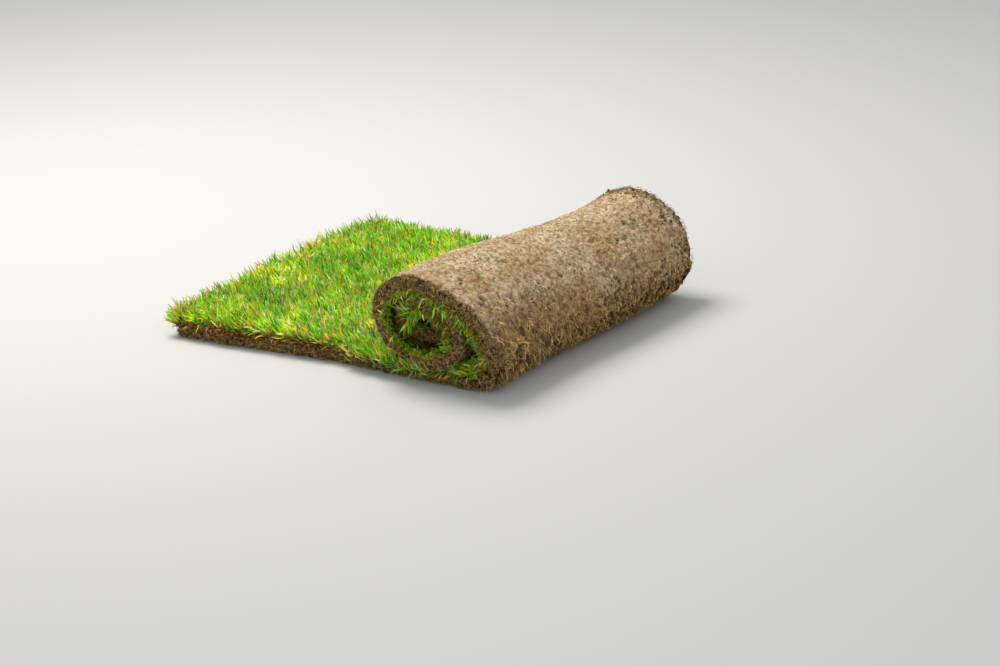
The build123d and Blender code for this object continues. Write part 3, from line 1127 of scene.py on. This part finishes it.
def multiply_add(tree, first, first_by, second, second_by, plus=0.0):
    """first * first_by + second * second_by + plus"""
    scaled = node(tree, "ShaderNodeMath", second, second_by, plus, operation="MULTIPLY_ADD").outputs["Value"]
    return node(tree, "ShaderNodeMath", first, first_by, scaled, operation="MULTIPLY_ADD").outputs["Value"]


def crumb_pattern(tree, where):
    """Distance from the middle of each crumb, in crumbs with shaken outlines."""
    shake = node(tree, "ShaderNodeTexNoise", Vector=where, Scale=140.0, Detail=2.0).outputs["Color"]
    amount = (0.006, 0.006, 0.006)
    shaken = node(tree, "ShaderNodeVectorMath", shake, amount, where, operation="MULTIPLY_ADD")
    crumb = node(tree, "ShaderNodeTexVoronoi", Vector=shaken.outputs["Vector"], Scale=150.0)
    return crumb.outputs["Distance"]


FOUR_STOPS = (0.3, 0.44, 0.58, 0.72)
# Soil tints for the roll's top, and darker warm ones for low on its side, which paint shade there
PALE_SOIL = palette((170, 142, 108), (208, 186, 150), (224, 206, 174), (242, 232, 210))
SHADED_WARM_SOIL = palette((94, 70, 30), (176, 142, 82), (220, 184, 112), (250, 224, 156))


def soil_material():
    """Dry soil, painted darker low on the roll as shade, warmer and more open there, and darker on the cut
    faces.
    """
    mat, tree, shader = material("soil", 0.95, 0.12)
    where = node(tree, "ShaderNodeTexCoord").outputs["Object"]
    tint = node(tree, "ShaderNodeAttribute", attribute_name="tint")
    parts = node(tree, "ShaderNodeSeparateColor", Color=tint.outputs["Color"])
    low = tint.outputs["Alpha"]
    fine = noise_node(tree, where, 270.0, 5.0, 0.72)
    mid = noise_node(tree, where, 105.0, 4.0)
    broad = noise_node(tree, where, 15.0, 3.0)
    speck = noise_node(tree, where, 230.0, 3.0)
    drawn = node(tree, "ShaderNodeMapping", Vector=where, Scale=(1.0, 1.0, 0.6))
    hole = noise_node(tree, drawn.outputs["Vector"], 95.0, 3.0)
    crumb = crumb_pattern(tree, where)
    # Painted shade in the crevices between crumbs
    crevice_shade = ramp(tree, crumb, (0.42, 0.0), (0.75, 1.0))
    # Dry soil on the outside: lighter on the top, and painted darker low on the roll as shade
    pale_tan = ramp(tree, fine, *zip(FOUR_STOPS, PALE_SOIL))
    shaded_warm_tan = ramp(tree, fine, *zip(FOUR_STOPS, SHADED_WARM_SOIL))
    tan = mix_colour(tree, low, pale_tan, shaded_warm_tan)
    greyer = multiplied(tree, tan, linear(206, 192, 176))
    tan = mix_colour(tree, ramp(tree, mid, (0.4, 0.0), (0.54, 1.0)), greyer, tan)
    browner = multiplied(tree, tan, linear(226, 210, 190))
    tan = mix_colour(tree, ramp(tree, broad, (0.38, 0.0), (0.62, 1.0)), browner, tan)
    # The crevices are painted darker as shade, more so low on the roll
    gap = multiplied(tree, crevice_shade, mix_colour(tree, low, (0.2, 0.2, 0.2), (0.8, 0.8, 0.8)))
    tan = mix_colour(tree, gap, tan, linear(84, 62, 34))
    tan = mix_colour(tree, ramp(tree, speck, (0.35, 0.9), (0.405, 0.0)), tan, linear(108, 80, 50))
    # Painted shade colour for pits, holes, crevices and the roll's underside, darker low on the roll
    dark = mix_colour(tree, low, linear(112, 86, 56), linear(46, 33, 17))
    # Small pits painted dark as their shade, more of them low on the roll
    clustered = multiply_add(tree, broad, 0.2, hole, -1.0, 0.9)
    pit_shade = multiply_add(tree, low, 0.12, clustered, 1.0)
    tan = mix_colour(tree, ramp(tree, pit_shade, (0.645, 0.0), (0.7, 1.0)), tan, dark)
    # Darker soil of the cut faces, and straw under the grass
    stops = zip((0.32, 0.5, 0.66), palette((36, 26, 9), (124, 98, 50), (202, 168, 102)))
    darker_cut_soil = mix_colour(tree, crevice_shade, ramp(tree, fine, *stops), linear(50, 37, 18))
    darker_cut_soil = multiplied(tree, darker_cut_soil, ramp(tree, mid, (0.36, 0.5), (0.62, 1.25)))
    straw = ramp(tree, mid, (0.35, linear(70, 56, 20)), (0.6, linear(140, 108, 44)))
    colour = mix_colour(tree, parts.outputs["Green"], tan, darker_cut_soil)
    colour = mix_colour(tree, parts.outputs["Blue"], colour, straw)
    # Painted shade wherever the tint's first channel marks it
    colour = mix_colour(tree, parts.outputs["Red"], colour, dark)
    feed(tree, shader.inputs["Base Color"], colour)
    grit = node(tree, "ShaderNodeBump", Height=fine, Strength=0.7, Distance=0.001).outputs["Normal"]
    bump = node(tree, "ShaderNodeBump", Height=crumb, Normal=grit, Strength=0.5, Distance=0.0016, invert=True)
    feed(tree, shader.inputs["Normal"], bump.outputs["Normal"])
    return mat


def tinted_material(name, roughness, specular, through, grain):
    """The piece's own tint, with a fine mottle; through is how much light passes the blade."""
    mat, tree, shader = material(name, roughness, specular)
    where = node(tree, "ShaderNodeTexCoord").outputs["Object"]
    tint = node(tree, "ShaderNodeAttribute", attribute_name="tint")
    mottle = ramp(tree, noise_node(tree, where, grain, 3.0), (0.3, 0.85), (0.7, 1.15))
    colour = multiplied(tree, tint.outputs["Color"], mottle)
    feed(tree, shader.inputs["Base Color"], colour)
    height = noise_node(tree, where, grain * 2.5, 2.0)
    bump = node(tree, "ShaderNodeBump", Height=height, Strength=0.35, Distance=0.0006)
    feed(tree, shader.inputs["Normal"], bump.outputs["Normal"])
    if through:
        thin = node(tree, "ShaderNodeBsdfTranslucent", Color=colour).outputs["BSDF"]
        mix = node(tree, "ShaderNodeMixShader", through, shader.outputs["BSDF"], thin)
        feed(tree, tree.nodes["Material Output"].inputs["Surface"], mix.outputs["Shader"])
    return mat


soil_look = soil_material()
blade_look = tinted_material("blade", 0.45, 0.4, 0.42, 260.0)
fibre_look = tinted_material("fibre", 0.85, 0.2, 0.0, 400.0)
crumb_look = tinted_material("crumb", 0.95, 0.1, 0.0, 600.0)

for look, slot, pieces in (
    (soil_look, "soil", (strip_tail, strip_outer, strip_inner)),
    (crumb_look, "soil", (crumbs, clods)),
    (fibre_look, "soil", (hair_roots, end_roots_near, end_roots_far, looped_roots, root_beard)),
    (blade_look, "grass", (loose_blades, sward_near, sward_far)),
    (blade_look, "grass", (pressed_near, pressed_far, spilled_near, spilled_far, edge_thatch, stray_blades)),
    (blade_look, "grass", (edge_grass_near, edge_grass_far, squeezed_near, squeezed_far)),
    (blade_look, "grass", (long_near, tuft_near, tuft_far)),
    (fibre_look, "soil", (shaggy_roots,)),
):
    for piece in pieces:
        piece.data.materials.append(look)
        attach(piece, "root")
        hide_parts("soil_mat" if slot == "soil" else "grass")

# Floor, light and camera
FLOOR = 6
floor_mesh = bpy.data.meshes.new("floor")
floor_corners = [(-FLOOR, -FLOOR, 0), (FLOOR, -FLOOR, 0), (FLOOR, FLOOR, 0), (-FLOOR, FLOOR, 0)]
floor_mesh.from_pydata(floor_corners, [], [(0, 1, 2, 3)])
floor = put("floor", floor_mesh)
floor_look, _, floor_shader = material("floor", 0.9, 0.1)
floor_shader.inputs["Base Color"].default_value = (0.62, 0.61, 0.59, 1)
floor_mesh.materials.append(floor_look)

world = bpy.data.worlds.new("studio")
bpy.context.scene.world = world
world.use_nodes = True
sky = world.node_tree.nodes["Background"].inputs
sky["Color"].default_value = (0.92, 0.96, 1.0, 1)
sky["Strength"].default_value = 0.55


def aim(thing, x_axis, y_axis, z_axis, place):
    """Gives a lamp or camera its three axes and its place."""
    thing.matrix_world = Matrix([*zip(x_axis, y_axis, z_axis, place), (0, 0, 0, 1)])


def area_lamp(name, place, target, size, power, colour):
    """A soft round lamp that shines on its target."""
    lamp = bpy.data.lights.new(name, "AREA")
    lamp.shape = "DISK"
    lamp.size = size
    lamp.energy = power
    lamp.color = colour
    towards = np.array(target, float) - np.array(place, float)
    z_axis = -towards / np.linalg.norm(towards)
    x_axis = np.cross([0, 0, 1], z_axis)
    x_axis /= np.linalg.norm(x_axis)
    holder = put(name, lamp)
    aim(holder, x_axis, np.cross(z_axis, x_axis), z_axis, place)


area_lamp("key", (-1.3, 0.2, 2.6), target=(0, 0, 0.05), size=1.6, power=84.0, colour=(1.0, 0.97, 0.92))
area_lamp("fill", (2.0, -2.2, 1.6), target=(0, 0, 0.08), size=2.2, power=12.0, colour=(0.95, 0.98, 1.0))

# Camera as fitted to the photo: focal length in pixels, place from the near corner of the tail's cut end
PHOTO_WIDTH = 1000.0
PHOTO_FOCAL = 3000.0
SENSOR = 36.0
TILT, ROLL, TURN = math.radians(19.685), math.radians(-2.067), math.radians(125.605)
CAMERA_AT = np.array([3.4575 - TAIL + SHIFT_X, -3.8451 - HALF_WIDTH, 1.8179])
forward = np.array([math.cos(TURN) * math.cos(TILT), math.sin(TURN) * math.cos(TILT), -math.sin(TILT)])
right = np.cross(forward, [0, 0, 1])
right /= np.linalg.norm(right)
above = np.cross(right, forward)
camera_x = math.cos(ROLL) * right + math.sin(ROLL) * above
camera_y = math.cos(ROLL) * above - math.sin(ROLL) * right
camera_data = bpy.data.cameras.new("camera")
camera_data.sensor_width = SENSOR
camera_data.lens = PHOTO_FOCAL * SENSOR / PHOTO_WIDTH
camera_data.clip_start = 0.1
camera_data.clip_end = 50.0
camera = put("camera", camera_data)
aim(camera, camera_x, camera_y, -forward, CAMERA_AT)
bpy.context.scene.camera = camera
bpy.context.scene.view_settings.view_transform = "Standard"
